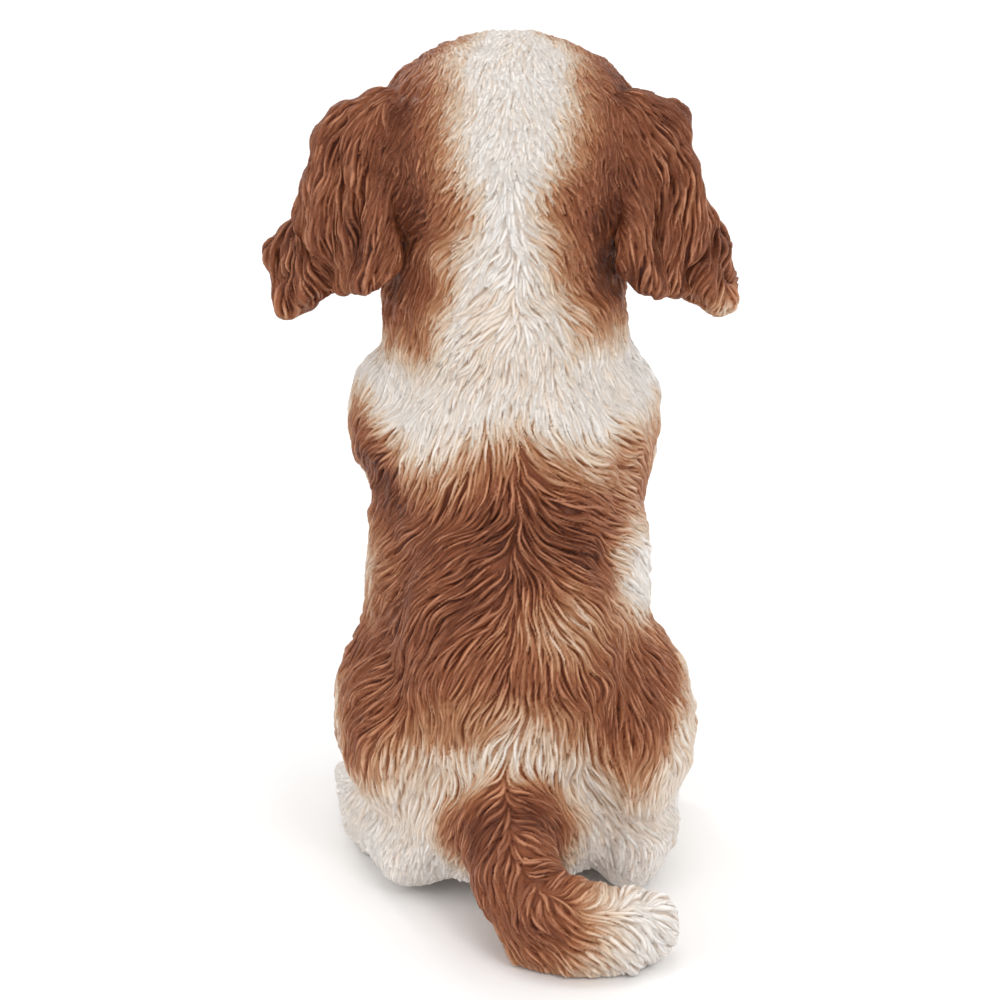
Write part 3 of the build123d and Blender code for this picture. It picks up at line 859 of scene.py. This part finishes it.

# Places painted darker, partly with darker paint and partly with painted shade in creases and under
# overhangs: strength, middle, half sizes
SHADE_AND_DARK_PAINT_SPOTS = (
    (0.12, (27, 2, 84), (9, 12, 9)), (0.10, (-1, 27, 66), (5, 10, 24)), (0.12, (21, 4, 115), (8, 9, 9)),
    (0.12, (-21, 4, 117), (7, 9, 8)), (0.08, (0, 40, 24), (7, 10, 8)), (0.08, (10, 26, 66), (12, 12, 8)),
    (0.07, (-12, 24, 72), (10, 12, 7)), (0.12, (33, -8, 150), (9, 9, 5)), (0.12, (-33, -8, 150), (9, 9, 5)),
    (0.04, (42, -12, 122), (7, 9, 8)), (0.04, (-42, -12, 122), (7, 9, 8)), (0.08, (-2, 54, 12), (8, 9, 5)),
)


def brown_at(points):
    """How much brown the coat has at any points."""
    local = points - place(0, 0, 0)
    local = local + 1.3 * np.stack([noise(local, 5.0, k) for k in (2.0, 12.0, 22.0)], axis=1)
    x, y, z = local.T
    # head: brown on both sides of the blaze
    front = fade(y, -8.0, 14.0)
    width = np.where(x > 0, edge(z, BLAZE_LEFT), edge(z, BLAZE_RIGHT)) * (1 - front)
    width = width + edge(z, BLAZE_FRONT) * front
    low = np.where(x > 0, 107.0, 110.5) + 8.0 * front
    amount = inside(np.minimum(np.abs(x) - width, z - low), 6.5)
    # saddle over the back, flanks and haunches
    belly = y - edge(z, SADDLE_FRONT)
    saddle = np.minimum(np.minimum(edge(x, SADDLE_TOP) - z, 0.7 * (z - edge(x, SADDLE_BOTTOM))), belly)
    amount = np.maximum(amount, inside(saddle, 7.5))
    # tail and the brown patch over its root
    on_tail = np.maximum(spot(local, (-1, 42, 20), (14, 18, 12)), spot(local, (-6, 54, 10), (26, 15, 17)))
    tail = inside(on_tail, 5.0) * (0.55 + 0.45 * inside(z - 6.0, 5.0)) * inside(x + 16.0, 9.0)
    amount = np.maximum(amount, tail)
    for level, at, half, soft in LIGHT_SPOTS:
        amount = amount + (level - amount) * inside(spot(local, at, half), soft)
    # a cream wash under the saddle, painted shade on the nape, and faint tan everywhere
    cream_wash_and_shade = 0.2 * inside(z - 18.0, 10.0) * inside(48.0 - z, 8.0) * inside(y - 8.0, 16.0)
    nape_shade = inside(spot(local, (0, 13, 111), (18, 12, 14)), 6.0)
    cream_wash_and_shade = cream_wash_and_shade + 0.03 + 0.05 * noise(local, 9.0, 7.0) + 0.09 * nape_shade
    amount = np.maximum(amount, cream_wash_and_shade)
    # darker paint and painted shade, only where the coat is brown
    shade_and_dark_paint = shade_and_dark_paint_at(points, local) * inside(amount - 0.6, 0.3)
    return CHESTNUT * amount + shade_and_dark_paint + 0.07 * noise(local, 6.0, 30.0) * amount


def shade_and_dark_paint_at(points, local):
    """How much painted shade lies round the ears' roots and in their furrows, and how much darker paint and
    painted shade on the listed places.
    """
    shade_and_dark_paint = np.zeros(len(points))
    for name in ("ear_left", "ear_right"):
        shade_and_dark_paint = np.maximum(shade_and_dark_paint, 0.2 * ear_root(fields[name].at(points), fields["head"].at(points)))
    for low, high, distance in furrows:
        near = np.nonzero(((points > low - 2.0) & (points < high + 2.0)).all(axis=1))[0]
        shade_and_dark_paint[near] = np.maximum(shade_and_dark_paint[near], 0.14 * np.clip(1.2 - distance(*points[near].T) / 1.5, 0.0, 1.0))
    for strength, at, half in SHADE_AND_DARK_PAINT_SPOTS:
        shade_and_dark_paint = shade_and_dark_paint + strength * inside(spot(local, at, half), 3.5)
    return shade_and_dark_paint


def dark_at(points):
    """1 on the nose, lips and eye rims."""
    local = points - place(0, 0, 0)
    local[:, 0] = np.abs(local[:, 0])
    top = SKULL[2]
    nose = np.linalg.norm((local - (0, -49.3, top - 8.3)) / (5.6, 4.6, 4.4), axis=1)
    rim = np.linalg.norm(local - (EYE - (0, Y0, 0)), axis=1)
    rims = fade(rim, EYE_RADIUS + 1.0, 0.5) * (local[:, 1] < EYE[1] - Y0)
    return np.maximum(np.maximum(fade(nose, 1.08, 0.1), rims), 0.9 * fade(from_mouth(points), 0.85, 0.3))


PAINT_SPREAD = 0.55    # 0 gives a whole lock the colour of its root, 1 gives each point its own
LOCK_SHIFT = 40.0      # sets the grain of each lock apart from its neighbours'
lock_tone = np.random.default_rng(5).uniform(-1, 1, len(fine_roots) + 1)[lock_number]
brown = brown_at(lock_root + PAINT_SPREAD * (points - lock_root)) + 0.07 * lock_tone * (1 - skin_bare)
# Tans are deeper in the grooves and paler on the ridges: wash and dry-brushing, and painted shade and
# highlight
brown = np.clip(brown + 0.9 * (0.5 - ridge) * brown * (1 - brown), 0.0, 1.0)    # tans are deeper in grooves
dark = dark_at(furred)
strand = np.stack([lock_side, lock_way * lock_length, lock_tone * LOCK_SHIFT], axis=1)


# ---------------- cut the skin into one closed piece for each node

FURRED = ["torso", "head", "ear_left", "ear_right", "foreleg_left", "foreleg_right", "hind_leg_left",
          "hind_leg_right", "tail"]
depths = np.stack([fields[name].at(points) for name in FURRED], axis=1)
owner = depths[quads].mean(axis=1).argmin(axis=1)
SMALL_ISLAND = 600    # faces


def neighbours(quads):
    """Pairs of quads that share an edge."""
    edges = np.sort(np.concatenate([quads[:, [i, (i + 1) % 4]] for i in range(4)]), axis=1)
    key = edges[:, 0] * (quads.max() + 1) + edges[:, 1]
    face = np.tile(np.arange(len(quads)), 4)
    order = np.argsort(key, kind="stable")
    same = np.nonzero(key[order][1:] == key[order][:-1])[0]
    return face[order[same]], face[order[same + 1]]


def patches(count, a, b):
    """The least number of any face in the same patch, for each face, where faces a[i] and b[i] are joined."""
    label = np.arange(count)
    while True:
        least = label.copy()
        np.minimum.at(least, a, label[b])
        np.minimum.at(least, b, label[a])
        least = least[least]
        if (least == label).all():
            return label
        label = least


def without_islands(owner, quads):
    """Gives each small island of a node's faces to the node round it, so every piece is one patch of skin."""
    a, b = neighbours(quads)
    joined = owner[a] == owner[b]
    label = patches(len(owner), a[joined], b[joined])
    small = np.bincount(label, minlength=len(owner))[label] < SMALL_ISLAND
    owner = owner.copy()
    before = 0
    while small.sum() != before:
        before = small.sum()
        for one, other in ((a, b), (b, a)):
            grow = small[one] & ~small[other]
            owner[one[grow]] = owner[other[grow]]
            small[one[grow]] = False
    return owner


owner = without_islands(owner, quads)
furred_normals = vertex_normals(furred, quads)


CAP_DEPTH = 1.3    # how far a cap's rim goes straight inwards before it crosses to its middle


def open_loops(faces):
    """The loops of points along the open edges of some quads, in the order in which the quads go round."""
    edges = np.concatenate([faces[:, [i, (i + 1) % 4]] for i in range(4)])
    span = faces.max() + 1
    forward = edges[:, 0] * span + edges[:, 1]
    backward = edges[:, 1] * span + edges[:, 0]
    after = {}
    for a, b in edges[~np.isin(forward, backward)].tolist():
        after.setdefault(a, []).append(b)
    while after:
        start = at = next(iter(after))
        loop = []
        while True:
            loop.append(at)
            following = after[at].pop()
            if not after[at]:
                del after[at]
            at = following
            if at == start:
                break
        yield loop


def closed_piece(name, faces):
    """A mesh object of these quads, closed across each open edge loop by a cap that lies inside the body."""
    used, local = np.unique(faces, return_inverse=True)
    local = local.reshape(-1, 4)
    verts, normal, caps = [furred[used]], [furred_normals[used]], []
    count = len(used)
    for loop in open_loops(local):
        sunk = points[used[loop]] - CAP_DEPTH * normals[used[loop]]
        hub = count + len(loop)
        for i, (a, b) in enumerate(zip(loop, loop[1:] + loop[:1])):
            inner_a, inner_b = count + i, count + (i + 1) % len(loop)
            caps += [(b, a, inner_a), (b, inner_a, inner_b), (inner_b, inner_a, hub)]
        verts += [sunk, sunk.mean(axis=0, keepdims=True)]
        normal += [furred_normals[used[loop]], np.array([[0.0, 0.0, 1.0]])]
        count = hub + 1
    extra = count - len(used)
    verts, normal = np.concatenate(verts), np.concatenate(normal)
    mesh = bpy.data.meshes.new(name)
    mesh.from_pydata(verts * MM, [], local.tolist() + caps)
    mesh.polygons.foreach_set("use_smooth", np.ones(len(mesh.polygons), bool))
    mesh.normals_split_custom_set_from_vertices(normal)
    for label, values in (("brown", brown), ("ridge", ridge), ("tone", lock_tone), ("dark", dark)):
        data = np.concatenate([values[used], np.zeros(extra)]).astype(np.float32)
        mesh.attributes.new(label, "FLOAT", "POINT").data.foreach_set("value", data)
    data = np.concatenate([strand[used], np.zeros((extra, 3))]).astype(np.float32)
    mesh.attributes.new("strand", "FLOAT_VECTOR", "POINT").data.foreach_set("vector", data.ravel())
    return new_object(name, mesh)


# ---------------- materials

def linear(r, g, b):
    """An sRGB colour given as 0 to 255, as the linear values that shaders take."""
    values = [c / 255 / 12.92 if c <= 10 else ((c / 255 + 0.055) / 1.055) ** 2.4 for c in (r, g, b)]
    return (*values, 1.0)


class Nodes:
    """Short names for building one material's node tree."""

    def __init__(self, name):
        self.material = bpy.data.materials.new(name)
        self.material.use_nodes = True
        self.tree = self.material.node_tree
        self.shader = self.tree.nodes["Principled BSDF"]

    def feed(self, socket, value):
        if isinstance(value, bpy.types.NodeSocket):
            self.tree.links.new(value, socket)
        else:
            socket.default_value = value

    def add(self, kind, inputs, **settings):
        node = self.tree.nodes.new(kind)
        for key, value in settings.items():
            setattr(node, key, value)
        for key, value in inputs.items():
            self.feed(node.inputs[key], value)
        return node

    def attribute(self, name, socket="Fac"):
        return self.add("ShaderNodeAttribute", {}, attribute_name=name).outputs[socket]

    def place(self):
        return self.add("ShaderNodeTexCoord", {}).outputs["Object"]

    def noise(self, at, scale, detail):
        return self.add("ShaderNodeTexNoise", {"Vector": at, "Scale": scale, "Detail": detail}).outputs["Fac"]

    def bump(self, height, strength, distance):
        inputs = {"Height": height, "Strength": strength, "Distance": distance}
        return self.add("ShaderNodeBump", inputs).outputs[0]

    def math(self, operation, a, b=0.0, clamp=False):
        return self.add("ShaderNodeMath", {0: a, 1: b}, operation=operation, use_clamp=clamp).outputs[0]

    def rise(self, value, start, end):
        """0 to 1, smoothly, while the value goes from the start to the end."""
        inputs = {"Value": value, "From Min": start, "From Max": end}
        return self.add("ShaderNodeMapRange", inputs, interpolation_type="SMOOTHSTEP").outputs[0]

    def mix(self, factor, a, b):
        node = self.add("ShaderNodeMix", {}, data_type="RGBA", clamp_factor=True)
        for index, value in ((0, factor), (6, a), (7, b)):    # the sockets of a colour mix
            self.feed(node.inputs[index], value)
        return node.outputs[2]

    def ramp(self, factor, stops):
        """A colour ramp through (place, sRGB colour) stops."""
        node = self.add("ShaderNodeValToRGB", {"Fac": factor})
        band = node.color_ramp
        while len(band.elements) < len(stops):
            band.elements.new(1.0)
        for element, (at, colour) in zip(band.elements, stops):
            element.position, element.color = at, linear(*colour)
        return node.outputs["Color"]

    def set(self, **inputs):
        for key, value in inputs.items():
            self.feed(self.shader.inputs[key.replace("_", " ")], value)
        return self.material


# The paint's colours at these amounts of brown: in the grooves between locks, on their sides and ridges
# The grooves' colours are a dark wash and painted shade; the ridges' colours are dry-brushing and painted
# highlight
BROWN_STOPS = (0.0, 0.22, 0.42, 0.63, CHESTNUT, 1.0)
GROOVE_WASH_AND_SHADE = ((193, 178, 165), (188, 146, 114), (146, 90, 56), (104, 50, 26), (76, 30, 11), (52, 18, 6))
SIDES = ((237, 230, 223), (222, 197, 172), (184, 131, 94), (148, 88, 56), (130, 72, 44), (94, 46, 25))
RIDGE_PAINT_AND_HIGHLIGHT = ((254, 251, 248), (240, 226, 212), (216, 174, 141), (198, 140, 104), (192, 132, 100), (150, 92, 62))
DARK_PAINT = (26, 19, 17)


def coat_material():
    """Satin paint from white to chestnut, darker in the locks' grooves with wash and painted shade, and
    lighter on their ridges with dry-brushing and painted highlight.
    """
    n = Nodes("painted_coat")
    brown, ridge, tone = n.attribute("brown"), n.attribute("ridge"), n.attribute("tone")
    at = n.place()
    scales = {0: n.attribute("strand", "Vector"), 1: (2.0, 0.14, 1.0)}    # fine across a lock, long along it
    hair = n.noise(n.add("ShaderNodeVectorMath", scales, operation="MULTIPLY").outputs[0], 1.0, 2.0)
    cloud = n.noise(at, 110.0, 3.0)
    speck = n.noise(at, 900.0, 2.0)
    patchy = n.math("SUBTRACT", cloud, 0.55)
    patchy = n.math("MULTIPLY", patchy, n.math("ADD", n.math("MULTIPLY", brown, 0.5), 0.1))
    amount = n.math("ADD", brown, patchy, clamp=True)
    groove, side, top = (n.ramp(amount, list(zip(BROWN_STOPS, row))) for row in (GROOVE_WASH_AND_SHADE, SIDES, RIDGE_PAINT_AND_HIGHLIGHT))
    # Relief and strands choose between the groove, side and ridge colours: painted shade in grooves, painted
    # highlight on ridges
    level = n.math("ADD", n.math("MULTIPLY", ridge, 0.9), n.math("MULTIPLY", hair, 0.6))
    level = n.math("ADD", level, n.math("MULTIPLY", tone, 0.08))
    level = n.math("SUBTRACT", level, 0.17)
    colour = n.mix(n.rise(level, 0.55, 1.0), n.mix(n.rise(level, 0.1, 0.5), groove, side), top)
    dark = n.attribute("dark")
    colour = n.mix(dark, colour, linear(*DARK_PAINT))
    fine = n.math("ADD", hair, n.math("MULTIPLY", speck, 0.25))
    rough = n.math("SUBTRACT", 0.38, n.math("MULTIPLY", dark, 0.2))
    bump = n.bump(fine, 0.7, 0.00024)
    return n.set(Base_Color=colour, Roughness=rough, Normal=bump, Specular_IOR_Level=0.22)


def eye_material():
    """Dark brown glass with an iris that is lighter towards its edge."""
    n = Nodes("eye_glass")
    fibre = n.noise(n.attribute("fibre", "Vector"), 1.0, 3.0)
    where = n.math("ADD", n.attribute("iris"), n.math("MULTIPLY", n.math("SUBTRACT", fibre, 0.5), 0.06))
    colour = n.ramp(where, [(0.0, (3, 2, 2)), (0.46, (5, 3, 3)), (0.53, (44, 20, 9)), (0.72, (76, 38, 17)),
                            (0.84, (24, 11, 6)), (0.93, (6, 4, 3))])
    return n.set(Base_Color=colour, Roughness=0.03, Specular_IOR_Level=0.14)


def grainy_material(name, scale, detail, low, high, bump, **looks):
    """A dull material with a fine grain between two colours; the bump is its strength and depth."""
    n = Nodes(name)
    grain = n.noise(n.place(), scale, detail)
    colour = n.ramp(grain, [(0.3, low), (0.7, high)])
    return n.set(Base_Color=colour, Normal=n.bump(grain, *bump), **looks)


# ---------------- pieces

paint = coat_material()
for index, name in enumerate(FURRED):
    piece = closed_piece("fur_" + name, quads[owner == index])
    piece.data.materials.append(paint)
    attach(piece, "root")
    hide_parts(name)


EYE_RINGS, EYE_TURNS = 40, 48
EYE_BACK = math.radians(100.0)    # the eye's flat back lies so far round from its front
IRIS_EDGE = 0.9                   # the iris attribute reaches 1 at this angle from the front, in radians


def glass_eye(name, side):
    """A ball with a clear bulge at the front, flattened at the back."""
    ahead = Vector((side * math.sin(math.radians(EYE_TURN)), -math.cos(math.radians(EYE_TURN)), 0.0))
    right = ahead.cross(Vector((0, 0, 1))).normalized()
    up = right.cross(ahead)
    centre = Vector((side * EYE[0], EYE[1], EYE[2]))
    verts, iris, fibre, faces = [], [], [], []
    for i in range(EYE_RINGS + 1):
        angle = EYE_BACK * i / EYE_RINGS
        bulge = 1.0 + 0.05 * math.exp(-(angle / 0.45) ** 2)
        for j in range(EYE_TURNS):
            spin = 2 * math.pi * j / EYE_TURNS
            ray = ahead * math.cos(angle) + (right * math.cos(spin) + up * math.sin(spin)) * math.sin(angle)
            verts.append((centre + ray * EYE_RADIUS * bulge) * MM)
            iris.append(min(1.0, angle / IRIS_EDGE))
            fibre += [math.cos(spin) * 9, math.sin(spin) * 9, angle * 1.2]
    for i in range(EYE_RINGS):
        here, there = i * EYE_TURNS, (i + 1) * EYE_TURNS
        for j in range(EYE_TURNS):
            k = (j + 1) % EYE_TURNS
            faces.append((here + j, there + j, there + k, here + k))
    faces.append([EYE_RINGS * EYE_TURNS + j for j in range(EYE_TURNS)])
    mesh = bpy.data.meshes.new(name)
    mesh.from_pydata(verts, [], faces)
    mesh.attributes.new("iris", "FLOAT", "POINT").data.foreach_set("value", iris)
    mesh.attributes.new("fibre", "FLOAT_VECTOR", "POINT").data.foreach_set("vector", fibre)
    mesh.validate()
    mesh.update()
    mesh.polygons.foreach_set("use_smooth", np.ones(len(mesh.polygons), bool))
    return new_object(name, mesh)


glass = eye_material()
for label, side in (("left", 1), ("right", -1)):
    eye = glass_eye("glass_eye_" + label, side)
    eye.data.materials.append(glass)
    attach(eye, "root")
    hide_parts("eye_" + label)

felt = grainy_material("pad_felt", 2200.0, 4.0, (64, 48, 36), (112, 90, 70), (0.8, 0.0002),
                       Roughness=0.95, Sheen_Weight=0.4)
rubber = grainy_material("plug_rubber", 1200.0, 3.0, (196, 188, 176), (214, 207, 196), (0.4, 0.0001),
                         Roughness=0.7)
for name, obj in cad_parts.items():
    if name.startswith("felt_pad") or name == "vent_plug":
        obj.data.materials.clear()
        obj.data.materials.append(rubber if name == "vent_plug" else felt)


# ---------------- floor, light and camera

FLOOR_REACH = 6.0
WORLD_STRENGTH = 0.88
LIGHTS = {    # place, size, power
    "key": ((-0.35, 0.75, 0.75), 0.25, 1.6),
    "fill": ((0.8, 0.5, 0.4), 0.4, 0.6),
    "top": ((0.0, 0.05, 1.0), 0.4, 1.2),
    "front_left": ((0.5, -0.8, 0.6), 0.15, 1.4),
    "front_right": ((-0.7, -0.6, 0.4), 0.3, 0.6),
}
ELEVATION = math.radians(20.0)
DISTANCE = 0.68          # from the camera to the place it looks at
FRAME_WIDTH = 0.196      # what the picture spans at that place
SENSOR = 36.0


def look_at(obj, at, target):
    obj.location = at
    obj.rotation_euler = (target - Vector(at)).to_track_quat("-Z", "Y").to_euler()


def studio():
    """A plain white floor and world, and five soft lights."""
    n = Nodes("floor")
    n.set(Base_Color=(1.0, 1.0, 1.0, 1.0), Roughness=1.0, Specular_IOR_Level=0.0)
    mesh = bpy.data.meshes.new("floor")
    r = FLOOR_REACH
    mesh.from_pydata([(-r, -r, 0), (r, -r, 0), (r, r, 0), (-r, r, 0)], [], [(0, 1, 2, 3)])
    mesh.materials.append(n.material)
    floor = new_object("floor", mesh)
    world = bpy.data.worlds.new("studio")
    world.use_nodes = True
    background = world.node_tree.nodes["Background"]
    background.inputs["Color"].default_value = (1.0, 1.0, 1.0, 1.0)
    background.inputs["Strength"].default_value = WORLD_STRENGTH
    bpy.context.scene.world = world
    middle = Vector((0.0, 0.0, HEAD_TOP / 2 * MM))
    for name, (at, size, power) in LIGHTS.items():
        light = bpy.data.lights.new(name, "AREA")
        light.size, light.energy = size, power
        look_at(new_object(name, light), at, middle)


def camera():
    """Behind the figurine and a little above it, as the figurine is shown."""
    aim = Vector((0.0016, Y0 * MM, 0.0725))
    data = bpy.data.cameras.new("camera")
    data.sensor_width, data.lens = SENSOR, SENSOR * DISTANCE / FRAME_WIDTH
    cam = new_object("camera", data)
    look_at(cam, aim + DISTANCE * Vector((0.0, math.cos(ELEVATION), math.sin(ELEVATION))), aim)
    bpy.context.scene.camera = cam


studio()
camera()
bpy.context.scene.view_settings.view_transform = "Standard"
